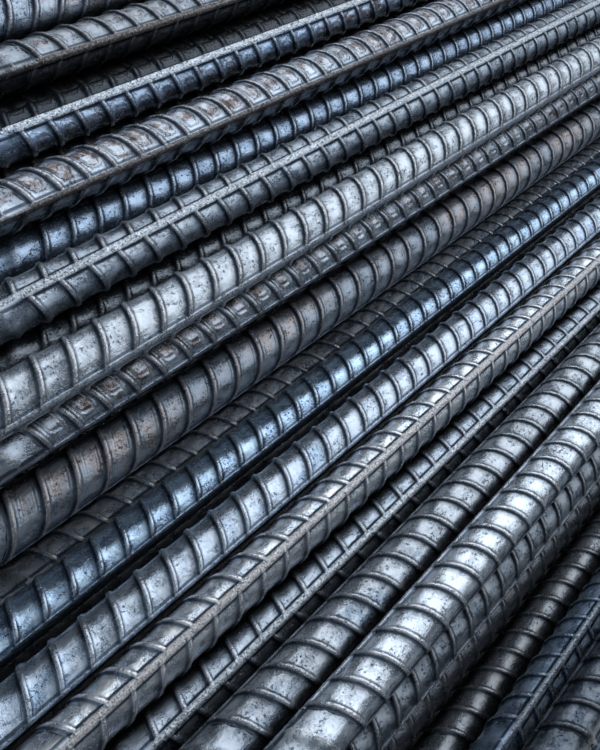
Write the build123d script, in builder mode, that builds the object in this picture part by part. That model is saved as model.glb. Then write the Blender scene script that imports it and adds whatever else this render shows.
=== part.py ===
from build123d import *
from math import sin, sqrt
import os

# Bundle of deformed reinforcing bars, lying on a level floor. Millimetres.
# +X runs along the bars, +Y across the bundle, +Z up from the floor under its middle.

# Bar: a 25 mm deformed bar
BAR_LENGTH = 3000.0
CORE = 24.3             # round of the bar between its ribs
CROSS_RIB = 1.55        # height of the slanting ribs, over which neighbours touch
LONG_RIB = 1.8          # height of the two ribs along the bar
LONG_RIB_CREST = 4.0    # width of a long rib at its crest
LONG_RIB_FOOT = 6.0     # width of a long rib at its foot
LEAN_STEP = 84.0        # degrees by which the ribs lean further from one inner bar to the next
SEAT = 0.45             # clearance between bars that rest on each other
END_SCATTER = 16.0      # how far the cut ends stand out of line, either way

# Ties: wire rod wrapped round the bundle, its two ends twisted together
ROD = 6.0
TIE_SEAT = 0.45         # clearance between the rod and the bars that it holds
TIE_FROM_END = 520.0    # from the bars' mean cut to the rod
TURN_IN = 9.0           # radius of the bend from the wrap into the twist
TWIST_LENGTH = 54.0
TWIST_TURNS = 1.25

OVER_RIBS = CORE + 2 * CROSS_RIB
SPACING = OVER_RIBS + SEAT
LOWEST = ROD + TIE_SEAT + OVER_RIBS / 2

# Layers of the stack from the floor up. Each is made of runs of bars, spread evenly from
# the first place across the bundle to the last, in bar spacings.
ROW_STEP = 1.02         # about how far apart the bars of a run are, in bar spacings
LAYERS = {
    "floor_layer_bars": [(-10.20, 10.20)],
    "second_layer_bars": [(-9.69, -9.69), (-6.49, -2.29), (1.02, 9.18)],
    "third_layer_bars": [(-5.19, -5.19), (1.53, 8.67)],
    "fourth_layer_bars": [(1.06, 9.22)],
    "fifth_layer_bars": [(5.46, 5.46), (8.11, 9.13)],
}

# Bars that show on top, in the order in which they lie on each other: the place across
# the bundle in bar spacings, and the lean of the long ribs from upright towards -Y.
TOP_BARS = [
    (6.93, 56), (4.16, 117), (2.56, 112), (-0.71, 50), (0.33, 108), (1.26, 77), (-8.72, 163),
    (-9.64, 30), (-1.85, 54), (-3.78, 2), (-6.25, 62), (-2.82, 4), (-4.58, 83), (-5.47, 95),
    (-9.03, 77), (8.51, 128), (7.43, 45), (6.06, 20), (4.79, 55), (3.02, 9), (1.57, 66),
]

ALONG = Vector(1, 0, 0)
laid = []               # places of the bars that lie in the bundle so far


def lay(across):
    """Lets a bar down at one place across the bundle, on the rods of the ties or on the
    bars laid before it, and returns the point where its middle comes to rest."""
    height = LOWEST
    for other_across, other_height in laid:
        offset = across - other_across
        if abs(offset) < SPACING:
            height = max(height, other_height + sqrt(SPACING**2 - offset**2))
    laid.append((across, height))
    return across, height


def run_places(runs):
    """Gives the places across the bundle of one layer's bars."""
    places = []
    for first, last in runs:
        steps = round((last - first) / ROW_STEP)
        places += [first + (last - first) * i / max(steps, 1) for i in range(steps + 1)]
    return [place * SPACING for place in places]


def bar_end(place, rib_lean):
    """Draws a bar's section over the ribs, at its cut end. No two bars in a row are cut in
    line, and each one's cut depends only on its number."""
    across, height = place
    end = -BAR_LENGTH / 2 + END_SCATTER * sin(2.4 * len(laid)**1.5)
    with BuildSketch(Plane((end, across, height), x_dir=(0, 1, 0), z_dir=(1, 0, 0))) as section:
        Circle(OVER_RIBS / 2)
        with PolarLocations(0, 2, start_angle=90 + rib_lean):
            Polygon(
                (0, -LONG_RIB_FOOT / 2),
                (CORE / 2, -LONG_RIB_FOOT / 2),
                (CORE / 2 + LONG_RIB, -LONG_RIB_CREST / 2),
                (CORE / 2 + LONG_RIB, LONG_RIB_CREST / 2),
                (CORE / 2, LONG_RIB_FOOT / 2),
                (0, LONG_RIB_FOOT / 2),
                align=None,
            )
    return section.sketch


def rod_side(heading):
    """Gives the direction of the rod's corners: along the bundle where the rod crosses it,
    and across it where the rod turns to lie along the bars."""
    side = ALONG - heading * ALONG.dot(heading)
    return side if side.length > 0.5 else Vector(0, 1, 0)


def rod_section(path):
    """Draws the rod's section, its round made with six sides, at the start of a path."""
    with BuildSketch(Plane(path @ 0, x_dir=rod_side(path % 0), z_dir=path % 0)) as section:
        RegularPolygon(ROD / 2, 6, major_radius=False)
    return section.sketch


def save(piece, label):
    """Labels a finished piece and writes it out."""
    piece.part.label = label
    export_step(piece.part, f"parts/{label}.step")


def outer_places():
    """Gives the bars that a taut wrap turns round, in order round the bundle."""
    def turn(a, b, c):
        return (b[0] - a[0]) * (c[1] - a[1]) - (b[1] - a[1]) * (c[0] - a[0])

    halves = []
    for places in (sorted(laid), sorted(laid, reverse=True)):
        half = []
        for place in places:
            while len(half) > 1 and turn(half[-2], half[-1], place) <= 1e-6:
                half.pop()
            half.append(place)
        halves.append(half[:-1])
    return halves[0] + halves[1]


os.makedirs("parts", exist_ok=True)

# Layers that the top bars lie on
for name, runs in LAYERS.items():
    with BuildPart() as layer:
        for across in run_places(runs):
            extrude(bar_end(lay(across), LEAN_STEP * len(laid)), amount=BAR_LENGTH)
    save(layer, name)

# Bars on top, each a piece of its own
for number, (across, rib_lean) in enumerate(TOP_BARS, start=1):
    with BuildPart() as top_bar:
        extrude(bar_end(lay(across * SPACING), rib_lean), amount=BAR_LENGTH)
    save(top_bar, f"top_bar_{number:02d}")

# Ties: the rod runs straight from bar to bar and bends round the outermost ones. Over the
# dip in the top its two ends turn to lie along the bars, and are twisted together.
corners = outer_places()
wrap_offset = OVER_RIBS / 2 + TIE_SEAT + ROD / 2
ends_apart = TURN_IN + ROD / 2
pitch = TWIST_LENGTH / TWIST_TURNS

tie_reach = BAR_LENGTH / 2 - TIE_FROM_END
for label, tie_place in (("near_tie", -tie_reach), ("far_tie", tie_reach)):
    across_plane = Plane((tie_place, 0, 0), x_dir=(0, 1, 0), z_dir=(1, 0, 0))
    with BuildPart() as tie:
        with BuildLine(across_plane) as wrap:
            Polyline(*corners, close=True)
            offset(amount=wrap_offset, kind=Kind.ARC, mode=Mode.REPLACE)
        runs_above_floor = wrap.edges().filter_by(GeomType.LINE).filter_by(
            lambda run: run.center().Z > LOWEST
        )
        over_dip = runs_above_floor.sort_by(SortBy.LENGTH)[-1]
        others = [edge for edge in wrap.edges() if not edge.is_same(over_dip)]
        middle = over_dip @ 0.5
        aside = over_dip % 0.5
        share = ends_apart / over_dip.length
        rod_path = Wire(others + [over_dip.trim(0, 0.5 - share), over_dip.trim(0.5 + share, 1)])
        sweep(rod_section(rod_path), path=rod_path)
        twist_plane = Plane(middle + ALONG * TURN_IN, x_dir=aside, z_dir=ALONG)
        for way in (1, -1):
            bend_start = middle + aside * (way * ends_apart)
            bend_end = middle + aside * (way * ROD / 2) + ALONG * TURN_IN
            bend = Edge.make_tangent_arc(bend_start, aside * -way, bend_end)
            sweep(rod_section(bend), path=bend)
            strand = twist_plane.from_local_coords(
                Edge.make_helix(pitch, TWIST_LENGTH, ROD / 2).rotate(Axis.Z, 90 - 90 * way)
            )
            sweep(rod_section(strand), path=strand, is_frenet=True)
    save(tie, label)
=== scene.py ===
# %% [markdown]
# The bundle and its frame
#
# A bundle of deformed reinforcing bars lies on a floor, and two loops of wire rod hold it.
# The CAD model gives every bar its place, its length and the way its two long ribs face.
# This file dresses that model: it loads the frame, puts the slanting ribs and the rolled
# steel surface on the bars, and sets up a floor, soft lamps and the camera.
# Everything is in metres. +X runs along the bars, +Y across them and +Z up.

# %% Load the frame
import math
import random
from collections import namedtuple
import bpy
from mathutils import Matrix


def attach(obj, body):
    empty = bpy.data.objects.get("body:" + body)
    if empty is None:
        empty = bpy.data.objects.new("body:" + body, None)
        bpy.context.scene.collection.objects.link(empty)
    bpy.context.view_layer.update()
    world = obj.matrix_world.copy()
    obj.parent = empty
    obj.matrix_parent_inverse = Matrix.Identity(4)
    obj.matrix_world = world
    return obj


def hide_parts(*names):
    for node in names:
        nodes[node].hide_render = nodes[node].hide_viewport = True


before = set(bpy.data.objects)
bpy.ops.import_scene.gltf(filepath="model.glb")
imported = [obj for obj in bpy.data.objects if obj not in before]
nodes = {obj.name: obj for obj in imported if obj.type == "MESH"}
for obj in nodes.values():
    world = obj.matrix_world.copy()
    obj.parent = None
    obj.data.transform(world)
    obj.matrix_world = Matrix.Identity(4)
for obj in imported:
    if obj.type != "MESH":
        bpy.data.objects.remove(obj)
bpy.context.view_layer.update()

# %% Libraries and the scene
from types import SimpleNamespace

import bmesh
import bpy
import numpy as np
from mathutils import Matrix, Vector

scene = bpy.context.scene
MM = 0.001
print("nodes in the frame:", len(nodes))


# %% [markdown]
# The camera
#
# The photograph looks down along the bars from close by, about 50 degrees below the level,
# and turned a little, so that the bars cross the picture from its lower left to its upper
# right. A camera could be aimed with angles, but three directions are easier to trust: the
# picture's right, its up, and the way back to the photographer. They become the columns of
# the camera's matrix. The lens comes from how fast the bars seem to draw together.

# %% Camera
PHOTO_WIDTH = 600
PHOTO_HEIGHT = 750
LENS_IN_PIXELS = 900
NEAREST = 0.05         # points closer to the camera than this don't count as seen

picture_right = Vector((0.63633, -0.66807, 0.38571))
picture_up = Vector((0.47318, 0.73291, 0.48881))
to_photographer = Vector((-0.60925, -0.12853, 0.78249))
camera_place = Vector((-0.500, -0.0795, 0.5049))

camera_data = bpy.data.cameras.new("camera")
camera_data.sensor_width = 36
camera_data.lens = 36 * LENS_IN_PIXELS / PHOTO_HEIGHT
camera_data.clip_start = 0.02
camera = bpy.data.objects.new("camera", camera_data)
scene.collection.objects.link(camera)
turn = Matrix((picture_right, picture_up, to_photographer)).transposed()
camera.matrix_world = Matrix.Translation(camera_place) @ turn.to_4x4()
scene.camera = camera


def in_picture(point, margin=30):
    """Says whether a point is in the photograph, or within a few pixels of its edge."""
    away = Vector(point) - camera_place
    depth = -away.dot(to_photographer)
    if depth <= NEAREST:
        return False
    across = LENS_IN_PIXELS * away.dot(picture_right) / depth
    upward = LENS_IN_PIXELS * away.dot(picture_up) / depth
    inside = abs(across) < PHOTO_WIDTH / 2 + margin
    return inside and abs(upward) < PHOTO_HEIGHT / 2 + margin


print("lens in millimetres:", round(camera_data.lens, 1))


# %% [markdown]
# The light
#
# The photograph's bars are lit by a wide soft source beyond their far end: each one has a
# pale band along its upper side, and the faces that look back at the camera stay dark.
# One large lamp there makes the pale bands. Steel shows little but what it mirrors, so the
# other lamps are for the sides that the photograph doesn't show: one behind the camera for
# the view from the far end, one on the flank and one overhead. A bar mirrors each lamp
# mostly to one cone of directions, and little of these three reaches the photographer.
# The lamps themselves are hidden from the camera.

# %% Lamps
BUNDLE_MIDDLE = Vector((0, 0, 0.1))


def soft_lamp(name, direction, distance, size, brightness, colour):
    """Hangs a soft lamp in a direction from the bundle, facing it, with its width across
    the bars. The brightness is the lamp's own, so a larger lamp gives more light."""
    data = bpy.data.lights.new(name, "AREA")
    data.shape = "RECTANGLE"
    data.size = size[0]
    data.size_y = size[1]
    data.energy = brightness * math.pi * size[0] * size[1]
    data.color = colour
    lamp = bpy.data.objects.new(name, data)
    lamp.visible_camera = False
    scene.collection.objects.link(lamp)
    way = Vector(direction).normalized()
    width = (Vector((0, 1, 0)) - way * way.y).normalized()
    facing = Matrix((width, way.cross(width), way)).transposed()
    lamp.matrix_world = Matrix.Translation(BUNDLE_MIDDLE + way * distance) @ facing.to_4x4()
    return lamp


COOL_WHITE = (0.95, 0.98, 1.0)
soft_lamp("far_lamp", (0.68, 0.12, 0.73), 3.2, (8.0, 2.9), 2.35, (0.93, 0.97, 1.0))
soft_lamp("back_lamp", (-0.80, 0.05, 0.60), 3.8, (6.4, 2.2), 1.15, COOL_WHITE)
soft_lamp("near_lamp", (-0.42, -0.80, 0.6), 3.6, (3.0, 2.0), 0.5, COOL_WHITE)
soft_lamp("top_lamp", (-0.06, 0.0, 1.0), 3.6, (7.0, 1.3), 0.45, COOL_WHITE)


# %% [markdown]
# Shader maths in plain expressions
#
# A material's nodes can be wired one by one, which hides what they work out. Here a small
# class stands for a socket, so that a mask times a colour's strength is written as a
# product. Single numbers are worked out in Python, and only what changes over the surface
# adds nodes.

# %% Sockets that can be added and multiplied
class Wire:
    """An output socket in a material, with Python's operators on it."""

    def __init__(self, finish, socket):
        self.finish = finish
        self.socket = socket

    def _math(self, operation, first, second):
        return self.finish.node("ShaderNodeMath", {"operation": operation}, {0: first, 1: second})

    def __add__(self, other):
        return self._math("ADD", self, other)

    __radd__ = __add__

    def __sub__(self, other):
        return self._math("SUBTRACT", self, other)

    def __rsub__(self, other):
        return self._math("SUBTRACT", other, self)

    def __mul__(self, other):
        return self._math("MULTIPLY", self, other)

    __rmul__ = __mul__

    def __abs__(self):
        return self.finish.node("ShaderNodeMath", {"operation": "ABSOLUTE"}, {0: self})

    def output(self, name):
        """Gives another output of the same node, by its name or its number."""
        return Wire(self.finish, self.socket.node.outputs[name])


# %% A finish under construction
class Finish:
    """A material, or a world, under construction. last names the node that its values feed."""

    def __init__(self, name, library=bpy.data.materials, last="Principled BSDF"):
        self.owner = library.new(name)
        self.owner.use_nodes = True
        self.tree = self.owner.node_tree
        self.last = self.tree.nodes[last]

    def node(self, kind, settings=None, sockets=None):
        """Adds a node, sets its settings first and then its sockets, and gives its output."""
        made = self.tree.nodes.new(kind)
        for name, value in (settings or {}).items():
            if name == "stops":
                self._set_stops(made.color_ramp, value)
            else:
                setattr(made, name, value)
        for name, value in (sockets or {}).items():
            self._feed(made.inputs[name], value)
        usable = [socket for socket in made.outputs if socket.enabled]
        return Wire(self, usable[0])

    def _feed(self, target, value):
        if isinstance(value, Wire):
            self.tree.links.new(value.socket, target)
        else:
            target.default_value = value

    def _set_stops(self, ramp, stops):
        ramp.interpolation = "EASE"
        while len(ramp.elements) < len(stops):
            ramp.elements.new(0.5)
        for element, (position, value) in zip(ramp.elements, stops):
            element.position = position
            element.color = (value, value, value, 1)

    def ramp(self, factor, stops):
        """Bends a value from 0 to 1 through grey stops, with soft turns at them."""
        return self.node("ShaderNodeValToRGB", {"stops": stops}, {"Fac": factor})

    def noise(self, place, scale, detail, roughness=0.5):
        """Makes soft random spots. scale is about how many there are to a metre."""
        return self.node("ShaderNodeTexNoise", None, {
            "Vector": place,
            "Scale": scale,
            "Detail": detail,
            "Roughness": roughness,
        })

    def mark(self, name):
        """Reads a number that is stored with every point of the mesh."""
        return self.node("ShaderNodeAttribute", {"attribute_name": name}).output("Fac")

    def blend(self, factor, first, second):
        """Mixes two colours by a mask. The colour is a Mix node's third output."""
        return self.node(
            "ShaderNodeMix",
            {"data_type": "RGBA"},
            {0: factor, 6: first, 7: second},
        ).output(2)

    def on_surface(self, values):
        """Feeds the last node's own sockets, and gives the finished material or world."""
        for name, value in values.items():
            self._feed(self.last.inputs[name], value)
        return self.owner


print("steps of a finish:", [name for name in vars(Finish) if not name.startswith("_")])


# %% [markdown]
# The floor
#
# The photograph is full of bars and shows no floor. A studio floor is plain: one large
# pale sheet, with a very faint mottling so that it isn't a dead flat colour. It is a
# stage, not a part.
#
# The lamps light only the floor near the bundle, and further off it would turn dark grey.
# So the floor glows by itself, more with distance, but only for rays that come from the
# camera or from a mirror-like surface. It looks pale to both, and sheds no other light.
# Under the bundle it doesn't glow, or bright slivers would show between the bars.

# %% Finish of the floor
NEAR_GLOW = (0.437, 0.446, 0.46, 1)
FAR_GLOW = (0.83, 0.84, 0.85, 1)
NO_GLOW = (0.0, 0.0, 0.0, 1)


def floor_finish():
    """A pale floor with a faint mottling and a glow for the camera. A ramp takes values up
    to 1, so greater distances are scaled down for it."""
    finish = Finish("pale_floor")
    place = finish.node("ShaderNodeTexCoord").output("Object")
    mottle = finish.noise(place, 3.0, 3.0)
    colour = finish.blend(mottle, (0.40, 0.405, 0.41, 1), (0.43, 0.43, 0.43, 1))
    axes = finish.node("ShaderNodeSeparateXYZ", None, {"Vector": place})
    past_ends = finish.ramp(abs(axes) * 0.5, [(0.72, 0.0), (0.80, 1.0)])
    past_flanks = finish.ramp(abs(axes.output("Y")), [(0.26, 0.0), (0.42, 1.0)])
    outside = 1 - (1 - past_ends) * (1 - past_flanks)
    reach = finish.node("ShaderNodeVectorMath", {"operation": "LENGTH"}, {0: place}).output("Value")
    far_off = finish.ramp(reach * 0.125, [(0.24, 0.0), (0.75, 1.0)])
    glow = finish.blend(far_off, NEAR_GLOW, FAR_GLOW)
    rays = finish.node("ShaderNodeLightPath")
    seen = rays.output("Is Camera Ray") + rays.output("Is Glossy Ray")
    return finish.on_surface({
        "Base Color": colour,
        "Roughness": 0.8,
        "Emission Color": finish.blend(outside * seen, NO_GLOW, glow),
        "Emission Strength": 1.0,
    })


# %% Floor
FLOOR_HALF = 30.0
floor_mesh = bpy.data.meshes.new("floor")
corners = [(x * FLOOR_HALF, y * FLOOR_HALF, 0) for x, y in ((-1, -1), (1, -1), (1, 1), (-1, 1))]
floor_mesh.from_pydata(corners, [], [(0, 1, 2, 3)])
floor_mesh.materials.append(floor_finish())
floor = bpy.data.objects.new("floor", floor_mesh)
scene.collection.objects.link(floor)
print("floor, metres across:", 2 * FLOOR_HALF)


# %% [markdown]
# The backdrop
#
# Above the floor the camera sees the world. The bars need a low, even, blue grey light from
# it, so that no side of them mirrors plain black, and the picture needs it pale. Two
# backgrounds give both: only the camera's own rays see the pale one.

# %% World
def studio_world():
    """Makes a low blue grey light, and a pale backdrop for the camera alone."""
    sky = Finish("studio", bpy.data.worlds, "World Output")
    sky.tree.nodes.remove(sky.tree.nodes["Background"])
    seen = sky.node("ShaderNodeLightPath").output("Is Camera Ray")
    light = sky.node("ShaderNodeBackground", None, {"Color": (0.60, 0.82, 1.0, 1), "Strength": 0.07})
    backdrop = sky.node("ShaderNodeBackground", None, {"Color": (0.86, 0.87, 0.88, 1)})
    return sky.on_surface({
        "Surface": sky.node("ShaderNodeMixShader", None, {0: seen, 1: light, 2: backdrop}),
    })


scene.world = studio_world()
scene.view_settings.view_transform = "Standard"
print("nodes in the world:", len(scene.world.node_tree.nodes))


# %% [markdown]
# The shape of a deformed bar
#
# A hot bar leaves the last pair of rolls with two long ribs, where the rolls part, and a
# row of slanting ribs on each side, cut into the rolls as grooves. The ribs give concrete
# its hold. Round their feet the steel flows into wide soft fillets, and between them stay
# shallow cells. The rows mirror each other: at one long rib they meet in an arrow that
# points away from the camera, at the other in one that points at it.
#
# Displacing a cylinder would need a very fine mesh for such narrow ribs. Instead each row
# is a grid whose lines run with the ribs, so that a few lines give the whole rib section.
#
# The same sums that shape the ribs also say where the finish changes: on the crests, in
# the middle of the cells and in the fillets. Shade is painted into the fillets, mostly on
# the side of each slanting rib that faces the camera, away from the main lamp.

# %% Sizes of the ribs, in millimetres and degrees
CORE_RADIUS = 12.15
CROSS_RIB = 1.55
LONG_RIB = 1.80
RIB_PITCH = 17.6
ROW_SLANT = 0.97       # how far a rib runs along the bar between the long ribs, in pitches
STAGGER = 0.3          # how far one row is ahead of the other, in pitches
CAMERA_LEAN = 9.3      # from upright towards -Y, the way that the camera sees square on

# Sections: the first list says how far from the middle of a rib, the second how high, or
# how much of a mark. Across a long rib the distance is an angle, and across a slanting rib
# it is along the bar.
LONG_RIB_SECTION = ([0, 8.2, 9.8, 13.0, 18.0], [LONG_RIB, 1.75, 1.25, 0.40, 0.0])
CROSS_RIB_SECTION = (
    [0, 0.95, 1.5, 2.3, 3.5, 5.2, 8.8],
    [CROSS_RIB, 1.48, 1.05, 0.52, 0.22, 0.08, 0.0],
)
# Painted shade by each slanting rib: strong in the fillet on its -X side, where the rib shades it
# from the main lamp, and faint on its +X side.
RIB_SHADE_SECTION = (
    [-6.4, -3.5, -2.3, -1.5, -0.95, 0.95, 1.5, 2.3, 3.5],
    [0.0, 0.45, 1.0, 1.0, 0.35, 0.0, 0.35, 0.1, 0.0],
)
INTO_CELL = ([3.0, 6.4], [0.0, 1.0])
INTO_CELL_FROM_LONG_RIB = ([18.0, 52.0], [0.0, 1.0])

# Lines of the grids: rows at these angles from one long rib to the other, and steps at
# these distances along the bar from each slanting rib.
FINE_ROWS = [0, 8.2, 9.8, 13, 18, 30, 48, 68, 90, 112, 132, 150, 162, 167, 170.2, 171.8, 180]
FINE_STEPS = [-3.5, -2.3, -1.5, -0.95, 0.95, 1.5, 2.3, 3.5, 6.4, 11.2]
COARSE_ROWS = [0, 9.8, 18, 53, 90, 127, 162, 170.2, 180]
COARSE_STEPS = [-3.5, 0.0, 3.5]
print("ribs in a row, to a metre:", round(1 / (RIB_PITCH * MM), 1))


# %% Height and marks at a place on a bar
def rise(along, angle):
    """Gives how high the surface stands over the core, at places in a row of ribs, and its
    marks from 0 to 1: up a slanting rib, up a long rib, in the middle of a cell, and painted
    shade by a slanting rib. along is in millimetres from a rib at the row's start, angle in
    degrees from the long rib there."""
    slant = ROW_SLANT * RIB_PITCH * (1 - angle / 180)
    past_rib = (along - slant + RIB_PITCH / 2) % RIB_PITCH - RIB_PITCH / 2
    from_rib = np.abs(past_rib)
    cross = np.interp(from_rib, *CROSS_RIB_SECTION)
    painted_shade = np.interp(past_rib, *RIB_SHADE_SECTION)
    from_long_rib = np.minimum(angle, 180 - angle)
    long_rib = np.interp(from_long_rib, *LONG_RIB_SECTION)
    short_along = 1 - np.interp(from_rib, *INTO_CELL)
    short_around = 1 - np.interp(from_long_rib, *INTO_CELL_FROM_LONG_RIB)
    cell = np.clip(1 - np.hypot(short_along, short_around), 0, 1)
    cross, long_rib, cell, painted_shade = np.broadcast_arrays(cross, long_rib, cell, painted_shade)
    return np.maximum(cross, long_rib), [cross / CROSS_RIB, long_rib / LONG_RIB, cell, painted_shade]


print("height where a slanting rib meets a long one:", float(rise(0.0, 180.0)[0]), "mm")


# %% [markdown]
# One row of ribs as a grid
#
# Columns of the grid lie at set distances from each rib, and rows at set angles between
# the two long ribs. Where the bar ends, points beyond the cut are drawn back to it, and
# their height is worked out again there, so the cut is flat and its edge follows the ribs.
# Rows and columns could be made point by point, but NumPy works out a whole grid at once.

# %% Grid of one row
MARKS = ("cross_rib", "long_rib", "cell_middle", "black_scale", "tone")
FOOT_STEP = FINE_STEPS[0]
NO_STEPS = []


def row_grid(bar, side, first_rib, last_rib, rows, steps):
    """Makes the points, marks and faces of one row of ribs, from one rib to another. bar
    holds the axis, the ends, the way the first long rib leans, where the ribs start, and
    the painted light level of each row. Without steps the row becomes one plain strip."""
    angles = np.array(rows, float)
    columns = [rib * RIB_PITCH + step for rib in range(first_rib, last_rib) for step in steps]
    first_column = first_rib * RIB_PITCH + FOOT_STEP
    last_column = last_rib * RIB_PITCH + FOOT_STEP
    columns = np.array((columns or [first_column]) + [last_column])[:, None]
    start = bar["start"] + (STAGGER * RIB_PITCH if side < 0 else 0)
    slant = ROW_SLANT * RIB_PITCH * (1 - angles / 180)[None, :]
    x = np.clip(start + columns + slant, bar["from"], bar["to"])
    height, marks = rise(x - start, angles[None, :])
    radius = CORE_RADIUS + height
    turn = np.radians(bar["lean"] + side * angles)[None, :]
    y = bar["y"] - radius * np.sin(turn)
    z = bar["z"] + radius * np.cos(turn)
    points = np.stack([x, y, z], axis=-1).reshape(-1, 3)
    # Painted shade: every point of the row carries its row's level of painted light.
    tone = np.full_like(height, bar["tones"][0 if side > 0 else 1])
    marks = np.stack(marks + [tone], axis=-1).reshape(-1, len(MARKS))
    across = len(angles)
    corner = np.arange((len(columns) - 1) * across).reshape(-1, across)[:, :-1].reshape(-1)
    around = [corner, corner + across, corner + across + 1, corner + 1]
    faces = np.stack(around if side < 0 else around[::-1], axis=-1)
    flat = np.ptp(x.reshape(-1)[faces], axis=1) < 1e-6
    return points, marks, faces[~flat]


for kind, rows, steps in (("fine", FINE_ROWS, FINE_STEPS), ("coarse", COARSE_ROWS, COARSE_STEPS)):
    print(kind, "points to a metre of a row:", round(len(rows) * len(steps) / (RIB_PITCH * MM)))


# %% Cut face of a bar
def cut_end(bar, place, outward):
    """Makes the flat cut face at one end of a bar."""
    rim = []
    for side, rows in ((1, FINE_ROWS), (-1, FINE_ROWS[-2:0:-1])):
        start = bar["start"] + (STAGGER * RIB_PITCH if side < 0 else 0)
        for angle in rows:
            height = float(rise(place - start, float(angle))[0])
            turn = math.radians(bar["lean"] + side * angle)
            radius = CORE_RADIUS + height
            y = bar["y"] - radius * math.sin(turn)
            z = bar["z"] + radius * math.cos(turn)
            rim.append((place, y, z))
    count = len(rim)
    points = np.array([(place, bar["y"], bar["z"])] + rim)
    ring = np.arange(count)
    faces = np.stack([np.zeros(count, int), 1 + ring, 1 + (ring + 1) % count], axis=-1)
    if outward > 0:
        faces = faces[:, ::-1]
    marks = np.zeros((count + 1, len(MARKS)))
    marks[:, MARKS.index("tone")] = max(bar["tones"])
    return points, marks, faces


# %% [markdown]
# From grids to a finished mesh
#
# The camera sees a short stretch of each bar from close by, and there the ribs need their
# full section. Further along the same ribs are drawn with fewer lines, and a row that
# faces into the stack has ribs only near the cuts, which keeps the whole model light.
#
# The marks are stored with every point, so that the steel's finish can follow the shape
# without a texture. With them goes a level of painted light, from 0 for a row that lies in
# the dark, which gets painted shade, to 1 for one that is as bright as its colours.

# %% Stretches of a row
END_RIBS = 6           # ribs near each cut of a row that faces into the stack
TURNED_AWAY = 155      # degrees from the camera's way at which a row is no longer seen


def seen_stretch(bar):
    """Gives the first and last rib of a bar's stretch in the photograph."""
    ribs = range(math.floor(bar["from"] / RIB_PITCH), math.ceil(bar["to"] / RIB_PITCH))
    seen = [
        rib for rib in ribs
        if in_picture((rib * RIB_PITCH * MM, bar["y"] * MM, bar["z"] * MM))
    ]
    return (seen[0], seen[-1] + 1) if seen else (0, 0)


def stretches_of(bar, side, close_up):
    """Cuts one row of a bar into stretches, each with its first and last rib and the lines
    that it is drawn with."""
    spare = 2
    first = math.floor((bar["from"] - bar["start"]) / RIB_PITCH) - spare
    last = math.ceil((bar["to"] - bar["start"]) / RIB_PITCH) + spare
    if not row_is_open(bar, side):
        return [
            (first, first + END_RIBS, COARSE_ROWS, COARSE_STEPS),
            (first + END_RIBS, last - END_RIBS, COARSE_ROWS, NO_STEPS),
            (last - END_RIBS, last, COARSE_ROWS, COARSE_STEPS),
        ]
    from_camera = (bar["lean"] + side * 90 - CAMERA_LEAN + 180) % 360 - 180
    if not close_up or abs(from_camera) > TURNED_AWAY:
        return [(first, last, COARSE_ROWS, COARSE_STEPS)]
    seen_from, seen_to = seen_stretch(bar)
    return [
        (first, seen_from, COARSE_ROWS, COARSE_STEPS),
        (seen_from, seen_to, FINE_ROWS, FINE_STEPS),
        (seen_to, last, COARSE_ROWS, COARSE_STEPS),
    ]


# %% Mesh of whole bars
def bar_parts(bar, close_up):
    """Makes the grids of a bar and its two cut faces."""
    parts = []
    for side in (1, -1):
        for stretch_from, stretch_to, rows, steps in stretches_of(bar, side, close_up):
            if stretch_to > stretch_from:
                parts.append(row_grid(bar, side, stretch_from, stretch_to, rows, steps))
    parts.append(cut_end(bar, bar["from"], -1))
    parts.append(cut_end(bar, bar["to"], 1))
    return parts


def mesh_from_parts(name, parts):
    """Joins grids into one smooth mesh with its marks. The cuts stay flat."""
    points = []
    marks = []
    faces = []
    smooth = []
    offset = 0
    for part_points, part_marks, part_faces in parts:
        points.append(part_points * MM)
        marks.append(part_marks)
        faces += (part_faces + offset).tolist()
        smooth += [part_faces.shape[1] == 4] * len(part_faces)
        offset += len(part_points)
    mesh = bpy.data.meshes.new(name)
    mesh.from_pydata(np.concatenate(points).tolist(), [], faces)
    mesh.polygons.foreach_set("use_smooth", smooth)
    marks = np.concatenate(marks).astype(np.float32)
    for column, mark in enumerate(MARKS):
        layer = mesh.attributes.new(mark, "FLOAT", "POINT")
        layer.data.foreach_set("value", np.ascontiguousarray(marks[:, column]))
    mesh.validate()
    mesh.update()
    return mesh


# %% [markdown]
# Reading the bars from the frame
#
# Each bar's axis is the middle of its CAD solid, because its two long ribs are opposite
# each other. A layer holds many bars, so its mesh is split into loose pieces first. The
# places could be typed in again here, but read from the frame they can't go astray.

# %% Bars in a node
CREST_TOLERANCE = 0.02     # how far below the outermost point a point still counts as crest


def loose_pieces(node):
    """Splits a CAD node into its solids, and gives each one's points in millimetres."""
    work = bmesh.new()
    work.from_mesh(nodes[node].data)
    bmesh.ops.remove_doubles(work, verts=work.verts, dist=1e-6)
    waiting = set(work.verts)
    pieces = []
    while waiting:
        stack = [waiting.pop()]
        piece = []
        while stack:
            vertex = stack.pop()
            piece.append(vertex.co.copy())
            for edge in vertex.link_edges:
                other = edge.other_vert(vertex)
                if other in waiting:
                    waiting.remove(other)
                    stack.append(other)
        pieces.append(np.array(piece) / MM)
    work.free()
    return sorted(pieces, key=lambda piece: piece[:, 1].mean())


def bars_in(node):
    """Gives the axis, ends and long rib direction of every bar in a node. The directions
    are averaged as doubled angles, at which two opposite ribs agree."""
    found = []
    for piece in loose_pieces(node):
        low = piece.min(axis=0)
        high = piece.max(axis=0)
        middle = (low + high) / 2
        out = piece[:, 1:] - middle[1:]
        reach = np.hypot(out[:, 0], out[:, 1])
        crest = out[reach > reach.max() - CREST_TOLERANCE]
        double = np.arctan2(-crest[:, 0], crest[:, 1]) * 2
        lean = math.degrees(math.atan2(np.sin(double).mean(), np.cos(double).mean())) / 2
        found.append({
            "from": low[0],
            "to": high[0],
            "y": middle[1],
            "z": middle[2],
            "lean": lean,
        })
    return found


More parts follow.
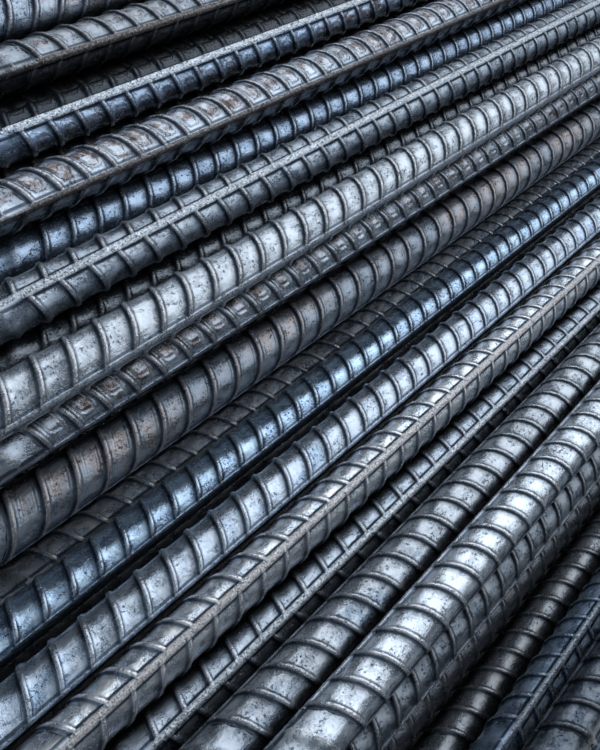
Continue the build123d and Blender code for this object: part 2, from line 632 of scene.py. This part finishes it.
LAYERS = [
    "floor_layer_bars",
    "second_layer_bars",
    "third_layer_bars",
    "fourth_layer_bars",
    "fifth_layer_bars",
]
top_names = sorted(name for name in nodes if name.startswith("top_bar"))
all_bars = {name: bars_in(name) for name in LAYERS + top_names}
all_axes = [(bar["y"], bar["z"]) for bars in all_bars.values() for bar in bars]
print("bars:", len(all_axes))


# %% [markdown]
# Rows that light and eye can reach
#
# Most bars are buried, and nobody sees a buried row of ribs. So each row is tested: straight
# lines go out from the bar's axis through it, square to the bars, and if one leaves the
# bundle without meeting another bar, the row is open. Falling lines don't count, because
# they only reach the floor.

# %% Openness of a row
LINE_STEP = 4              # degrees from one line to the next
MOST_FALL = 0.05           # a line may fall by this share of its way
PAST_ITSELF = 1.0          # millimetres along a line, beyond which it can meet other bars
BLOCKED_WITHIN = CORE_RADIUS + 1.6     # how near a bar's axis is when it blocks a line


def row_is_open(bar, side):
    """Says whether a line leads from a bar's axis through one row and out of the bundle."""
    for angle in range(LINE_STEP, 180, LINE_STEP):
        heading = math.radians(bar["lean"] + side * angle)
        way = (-math.sin(heading), math.cos(heading))
        if way[1] < -MOST_FALL:
            continue
        blocked = False
        for y, z in all_axes:
            ahead = (y - bar["y"]) * way[0] + (z - bar["z"]) * way[1]
            aside = abs((y - bar["y"]) * way[1] - (z - bar["z"]) * way[0])
            if ahead > PAST_ITSELF and aside < BLOCKED_WITHIN:
                blocked = True
                break
        if not blocked:
            return True
    return False


layer_rows = [(bar, side) for name in LAYERS for bar in all_bars[name] for side in (1, -1)]
print("rows in the layers:", len(layer_rows), "open:", sum(row_is_open(*row) for row in layer_rows))


# %% [markdown]
# The skin of hot rolled bar
#
# A new bar is covered in mill scale: a thin hard skin of oxide, blue black to slate, that
# shines softly. It has patches of a few centimetres, some of them brownish, lighter spots
# of half a centimetre, and fine specks and pocks where flakes have come off.
#
# A photograph could be laid on as a texture, but noise has no seams and no end, and every
# bar gets its own piece of it. Each noise here has the scale of one kind of mark. The wide
# ones are stretched a little along the bar, as rolling stretches the marks.

# %% Noises of the skin
def skin_of(finish, pitting, seed):
    """Makes the noises of a bar's skin and the masks that need nothing else. seed shifts
    the patches and spots, so that they don't run on from one bar to the next."""
    place = finish.node("ShaderNodeTexCoord").output("Object")
    shifted = finish.node("ShaderNodeMapping", None, {
        "Vector": place,
        "Location": (seed, seed * 0.7, seed * 1.3),
        "Scale": (0.6, 1, 1),
    })
    patches = finish.noise(shifted, 24.0, 4.0, 0.6)
    mottle = finish.noise(shifted, 170.0, 5.0, 0.55)
    flecks = finish.noise(place, 520.0, 4.0, 0.7)
    pocks = finish.noise(place, 640.0, 4.0, 0.6)
    grain = finish.noise(place, 1100.0, 3.0, 0.7)
    dust = grain * 0.6 + flecks * 0.4
    pock_area = finish.ramp(mottle, [(0.50 - 0.12 * pitting, 1.0), (0.56 - 0.08 * pitting, 0.0)])
    return SimpleNamespace(
        patches=patches,
        mottle=mottle,
        flecks=flecks,
        grain=grain,
        light_spots=finish.ramp(mottle * 0.75 + flecks * 0.25, [(0.40, 0.0), (0.60, 1.0)]),
        pock_holes=finish.ramp(pocks, [(0.36, 1.0), (0.42, 0.0)]) * pock_area,
        specks=finish.ramp(grain, [(0.54, 0.0), (0.61, 1.0)]),
        pepper=finish.ramp(dust, [(0.36 + 0.06 * pitting, 1.0), (0.42 + 0.06 * pitting, 0.0)]),
        crest_pits=finish.ramp(dust, [(0.43, 1.0), (0.48, 0.0)]),
    )


# %% [markdown]
# Where the ribs change the skin
#
# Ribs are rubbed paler on their crests. In their fillets shade is painted, mostly on the side
# of each slanting rib that faces the camera, and along the feet of the long ribs. The marks
# that are stored with the meshes say where those are. Cells and the painted shade by the
# slanting ribs take their mark as it is, and soft ramps make the masks of the crests and feet.

# %% Masks of the ribs
def rib_masks(finish):
    """Gives the masks that follow the shape of the ribs."""
    long_rib = finish.mark("long_rib")
    return SimpleNamespace(
        cell=finish.mark("cell_middle"),
        rib_shade=finish.mark("black_scale"),
        crest=finish.ramp(finish.mark("cross_rib"), [(0.70, 0.0), (0.93, 1.0)]),
        long_crest=finish.ramp(long_rib, [(0.80, 0.0), (0.95, 1.0)]),
        long_rib_shade=finish.ramp(long_rib, [(0.02, 0.0), (0.20, 1.0), (0.60, 1.0), (0.85, 0.0)]),
    )


# %% [markdown]
# Colours of the skin
#
# The colour is built up as the skin is: first the scale between the ribs, then what lies
# on the ribs. Each step mixes one more colour in by a mask, so any one can be weakened or
# left out without touching the others. The colours all come from three that each bar has
# of its own: a cool and a warm colour of scale, and the colour of its long ribs' crests.

# %% Colour between the ribs
PAINTED_SHADE_TINT = np.array((0.10, 0.14, 0.19))
RUBBED_TINT = np.array((1.15, 1.0, 0.9))


def solid(colour):
    """Gives a colour as sockets take it, no brighter than 1 and with its alpha."""
    return (*np.minimum(colour, 1.0).tolist(), 1.0)


def pale_scale(cool):
    """The colour of the lighter spots and of sparkling specks."""
    return solid(1.8 * cool + 0.12)


def bare_pit(cool, warm):
    """The dark colour at the bottom of pits and pocks."""
    return solid(0.12 * cool + 0.10 * warm)


def scale_colour(finish, skin, ribs, cool, warm, pitting, dents):
    """Mixes the colour between the ribs: patches, lighter spots, pepper and pocks."""
    pit = bare_pit(cool, warm)
    warmth = skin.patches + 0.28 * dents * ribs.cell - 0.07
    patched = finish.blend(finish.ramp(warmth, [(0.42, 0.0), (0.60, 1.0)]), solid(cool), solid(warm))
    spotted = finish.blend(skin.light_spots * 0.62, patched, pale_scale(cool))
    peppered = finish.blend(skin.pepper * (0.15 + 0.35 * pitting), spotted, pit)
    return finish.blend(skin.pock_holes * (0.4 + 0.4 * pitting), peppered, pit)


# %% Colour on the ribs
def rib_colour(finish, skin, ribs, between, cool, warm, ledge):
    """Paints shade into the rib fillets and long rib feet, then lays a rubbed skin on the
    slanting ribs, and the long ribs' own colour, flecks and pits over the colour between the ribs."""
    # Painted shade: the fillets by the slanting ribs and the feet of the long ribs are darkened
    # towards this colour.
    painted_shade = solid(cool * PAINTED_SHADE_TINT)
    rubbed = solid(0.55 * (cool + warm) * RUBBED_TINT + 0.02)
    with_rib_shade = finish.blend(ribs.rib_shade * 0.97, between, painted_shade)
    with_long_rib_shade = finish.blend(ribs.long_rib_shade * 0.90, with_rib_shade, painted_shade)
    on_crests = finish.blend(ribs.crest * 0.62, with_long_rib_shade, rubbed)
    sparkling = finish.blend(ribs.crest * skin.specks * 0.6, on_crests, pale_scale(cool))
    on_ledges = finish.blend(ribs.long_crest * (0.88 - 0.5 * ribs.rib_shade), sparkling, solid(ledge))
    flecked = finish.blend(ribs.long_crest * skin.specks * 0.8, on_ledges, solid(1.4 * ledge + 0.20))
    return finish.blend(ribs.long_crest * skin.crest_pits * 0.85, flecked, bare_pit(cool, warm))


# %% [markdown]
# The whole finish
#
# Two more things darken a bar, and both are painted shade. A level of painted light, which is
# stored with each row, darkens the rows that lie in shade, all but the crests of their long
# ribs. And where bars lie close together, the ambient occlusion node finds the crevices and
# paints shade into them.
#
# The surface is mostly metallic, so it mirrors each lamp as a soft band, and spots and
# pocks in the bump break the band up. Some bars have a dented ring in each cell as well,
# as loose scale leaves it when the rolls press it into the steel.

# %% Steel of a bar
# Painted shade in crevices: its colour, and how far the occlusion looks for nearby bars.
CREVICE_SHADE_COLOUR = (0.006, 0.007, 0.009, 1)
CREVICE_SHADE_REACH = 0.026        # about a bar's width
RELIEF_DEPTH = 0.0009


def bar_steel(name, cool, warm, ledge, dullness, pitting, dents, seed):
    """Makes the rolled steel of one bar. dullness is the roughness of its smoothest scale,
    and pitting and dents say from 0 to 1 how strong those are."""
    finish = Finish(name)
    cool, warm, ledge = (np.array(colour) for colour in (cool, warm, ledge))
    skin = skin_of(finish, pitting, seed)
    ribs = rib_masks(finish)
    between = scale_colour(finish, skin, ribs, cool, warm, pitting, dents)
    worn = rib_colour(finish, skin, ribs, between, cool, warm, ledge)
    # Painted shade: a row of low painted light is darkened towards black, all but its long ribs'
    # crests.
    with_row_shade = finish.blend((1 - finish.mark("tone")) * (1 - ribs.long_crest), worn, solid(0.08 * cool))
    # Painted shade: where bars lie close, ambient occlusion darkens the colour towards near black.
    occlusion = finish.node("ShaderNodeAmbientOcclusion", {"samples": 6}, {"Distance": CREVICE_SHADE_REACH})
    painted_crevice_shade = finish.ramp(occlusion.output("AO"), [(0.22, 1.0), (0.60, 0.0)])

    ring = finish.ramp(ribs.cell, [(0.05, 0.0), (0.35, 1.0), (0.60, 0.2), (0.85, 0.8), (1.0, 0.5)])
    even = skin.mottle * 0.6 + skin.flecks * 0.25 + skin.grain * 0.12
    relief = even - skin.pock_holes * 0.4 + ring * (0.7 * dents)
    uneven = 0.14 * skin.light_spots + 0.2 * skin.pock_holes + 0.16 * ribs.long_crest
    return finish.on_surface({
        "Base Color": finish.blend(painted_crevice_shade * 0.9, with_row_shade, CREVICE_SHADE_COLOUR),
        "Metallic": 0.82,
        "Roughness": dullness + uneven,
        "Normal": finish.node(
            "ShaderNodeBump", None, {"Height": relief, "Strength": 0.85, "Distance": RELIEF_DEPTH}
        ),
    })


# %% [markdown]
# The bars on top
#
# Each bar that shows on top is a piece of its own. The photograph's bars differ: some are
# deep blue, some silver, some brown. So each has a line in a table, with the way its arrows
# point at the long rib that faces up, its colours and its wear. A single random rule
# could colour them too, but then no bar would be the one in the photograph.

# %% Colours of scale, as linear red, green and blue
BLUE = (0.150, 0.210, 0.300)
DEEP = (0.045, 0.068, 0.105)
PEARL = (0.600, 0.680, 0.800)
SILVER = (0.300, 0.340, 0.395)
STEEL = (0.190, 0.225, 0.275)
SLATE = (0.110, 0.138, 0.178)
BROWN = (0.095, 0.078, 0.078)
RUST = (0.085, 0.072, 0.068)
ROSE = (0.230, 0.200, 0.200)
ASH = (0.330, 0.320, 0.330)
FROST = (0.350, 0.390, 0.445)
BLACK = (0.022, 0.028, 0.040)

# %% Table of the bars on top
# The cool and the warm colour are multiplied by the strength, and ledge is the crests of
# the long ribs. The upper and lower painted light say how much shade is painted on each row:
# at 1 a row is as bright as its colours, and at 0 it is dark.
Look = namedtuple(
    "Look",
    "arrow cool warm strength ledge dullness pitting dents upper_tone lower_tone",
)
# Besides each bar's own colour, the strengths hold painted light on bars that lie in shade and
# painted shade on others, such as top_bar_01: near black, in deep shade between two bars.
LOOKS = {
    "top_bar_01": Look("away", BLACK, BLACK, 0.5, BLACK, 0.34, 0.3, 0.0, 1.0, 1.0),
    "top_bar_02": Look("away", BLUE, BLUE, 1.0, SLATE, 0.14, 0.1, 0.0, 1.0, 1.0),
    "top_bar_03": Look("away", STEEL, BLACK, 0.65, SLATE, 0.17, 1.0, 0.0, 1.0, 1.0),
    "top_bar_04": Look("back", BLUE, SLATE, 1.85, DEEP, 0.19, 0.5, 0.0, 1.0, 0.8),
    "top_bar_05": Look("away", SLATE, ROSE, 1.15, SLATE, 0.25, 0.7, 0.2, 1.0, 0.8),
    "top_bar_06": Look("away", STEEL, BROWN, 1.3, DEEP, 0.20, 0.6, 0.8, 0.8, 1.0),
    "top_bar_07": Look("away", BLUE, SLATE, 1.35, STEEL, 0.25, 0.6, 0.0, 1.0, 0.8),
    "top_bar_08": Look("away", DEEP, DEEP, 1.0, DEEP, 0.31, 0.5, 0.0, 1.0, 1.0),
    "top_bar_09": Look("back", STEEL, BLUE, 1.5, BLUE, 0.21, 0.4, 0.0, 1.0, 0.9),
    "top_bar_10": Look("back", STEEL, SLATE, 1.7, FROST, 0.23, 0.4, 0.0, 0.85, 1.0),
    "top_bar_11": Look("back", SLATE, SLATE, 0.6, STEEL, 0.27, 0.3, 0.0, 1.0, 0.6),
    "top_bar_12": Look("away", SILVER, STEEL, 1.95, ASH, 0.23, 0.1, 0.1, 1.0, 0.45),
    "top_bar_13": Look("away", SILVER, BLUE, 0.77, STEEL, 0.20, 0.3, 0.0, 1.0, 0.9),
    "top_bar_14": Look("away", SILVER, STEEL, 1.2, SILVER, 0.20, 0.5, 0.0, 1.0, 1.0),
    "top_bar_15": Look("away", BLUE, SLATE, 0.27, SLATE, 0.25, 0.5, 0.0, 1.0, 1.0),
    "top_bar_16": Look("away", SLATE, BROWN, 1.8, SLATE, 0.23, 0.8, 0.2, 1.0, 1.0),
    "top_bar_17": Look("away", STEEL, BROWN, 0.8, RUST, 0.25, 0.4, 0.5, 1.0, 0.4),
    "top_bar_18": Look("back", BLUE, BROWN, 1.5, FROST, 0.19, 0.4, 0.3, 0.0, 1.0),
    "top_bar_19": Look("away", STEEL, BROWN, 1.35, RUST, 0.21, 0.3, 1.0, 1.0, 0.6),
    "top_bar_20": Look("back", STEEL, SLATE, 1.5, FROST, 0.22, 0.5, 0.0, 0.75, 0.85),
    "top_bar_21": Look("back", SILVER, STEEL, 0.92, STEEL, 0.22, 0.4, 0.0, 1.0, 1.0),
}
print("looks for the bars on top:", len(LOOKS))


# %% Make the bars on top
def facing_lean(lean):
    """Of a bar's two opposite long ribs, gives the direction of the one nearer the camera."""
    return (lean - CAMERA_LEAN + 90) % 180 - 90 + CAMERA_LEAN


def add_piece(node, parts, material):
    """Puts a mesh of bars in the scene in the place of a CAD node, and gives its number of
    triangles."""
    mesh = mesh_from_parts(f"ribbed_{node}", parts)
    mesh.materials.append(material)
    piece = bpy.data.objects.new(f"ribbed_{node}", mesh)
    scene.collection.objects.link(piece)
    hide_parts(node)
    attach(piece, "root")
    mesh.calc_loop_triangles()
    print(piece.name, "has", len(mesh.loop_triangles), "triangles")
    return len(mesh.loop_triangles)


dice = random.Random(25)
triangles = 0
for name, look in LOOKS.items():
    bar = all_bars[name][0]
    bar["start"] = dice.uniform(0, RIB_PITCH)
    seed = dice.uniform(0, 9)
    cool = [look.strength * c for c in look.cool]
    warm = [look.strength * c for c in look.warm]
    steel = bar_steel(
        f"{name}_steel", cool, warm, look.ledge, look.dullness, look.pitting, look.dents, seed
    )
    if look.arrow == "away":
        bar["lean"] = facing_lean(bar["lean"])
        bar["tones"] = (look.lower_tone, look.upper_tone)
    else:
        bar["lean"] = facing_lean(bar["lean"]) + 180
        bar["tones"] = (look.upper_tone, look.lower_tone)
    triangles += add_piece(name, bar_parts(bar, True), steel)
print("triangles in the bars on top:", triangles)


# %% [markdown]
# The layers below
#
# The bars of the layers share one finish, because only a few of them show, in the gaps
# between the bars on top. A level of painted light sets how bright they are: a low one paints
# shade on the buried bars, and each of those few has a level of its own. Every bar's ribs
# start at another place along the bundle, as in bars that were thrown together.

# %% Make the bars of the layers
LAYER_PAINTED_LIGHT = 0.42
# Painted light and shade: each bar seen in a gap has its own level, up to 1 for one that looks lit,
# and all other bars lie at the low level.
SEEN_IN_GAPS = {
    ("floor_layer_bars", 10): 1.0,
    ("floor_layer_bars", 9): 0.3,
    ("floor_layer_bars", 2): 0.25,
    ("floor_layer_bars", 3): 0.05,
    ("fourth_layer_bars", 0): 1.0,
    ("fifth_layer_bars", 0): 1.0,
}

# Painted light: the inner steel is pale, so that the bars at level 1 look lit where they lie in
# shade.
inner_steel = bar_steel("inner_bar_steel", PEARL, SILVER, SLATE, 0.23, 0.6, 0.0, 3.3)
for name in LAYERS:
    parts = []
    for number, bar in enumerate(all_bars[name]):
        bar["start"] = dice.uniform(0, RIB_PITCH)
        tone = SEEN_IN_GAPS.get((name, number), LAYER_PAINTED_LIGHT)
        bar["tones"] = (tone, tone)
        parts += bar_parts(bar, (name, number) in SEEN_IN_GAPS)
    triangles += add_piece(name, parts, inner_steel)
print("triangles in all bars:", triangles)


# %% [markdown]
# The ties
#
# A loop of plain wire rod holds the bundle near each end, pulled tight and twisted. Its
# CAD solid already has the wrap, the bends and the two strands, so it stays and only gets
# its finish: drawn rod, duller and browner than the bars, with rust in patches and bright
# grains where the scale is rubbed through.

# %% Tie rod
def rod_finish():
    """Drawn wire rod with a thin scale skin."""
    finish = Finish("tie_rod_steel")
    place = finish.node("ShaderNodeTexCoord").output("Object")
    patches = finish.noise(place, 60.0, 5.0)
    grain = finish.noise(place, 700.0, 3.0)
    rust = finish.ramp(patches, [(0.48, 0.0), (0.66, 1.0)])
    bright = finish.ramp(grain, [(0.45, 0.0), (0.70, 1.0)])
    skin = finish.blend(rust, (0.16, 0.17, 0.19, 1), (0.20, 0.135, 0.10, 1))
    return finish.on_surface({
        "Base Color": finish.blend(bright * 0.4, skin, (0.36, 0.36, 0.37, 1)),
        "Metallic": 0.8,
        "Roughness": 0.38 + 0.2 * patches,
        "Normal": finish.node(
            "ShaderNodeBump", None, {"Height": grain, "Strength": 0.4, "Distance": 0.0004}
        ),
    })


rod_steel = rod_finish()
for name in ("near_tie", "far_tie"):
    tie = nodes[name]
    if not tie.data.materials:
        tie.data.materials.append(rod_steel)
    for slot in tie.material_slots:
        slot.material = rod_steel
    print(name, "has", len(tie.data.vertices), "points")


# %% [markdown]
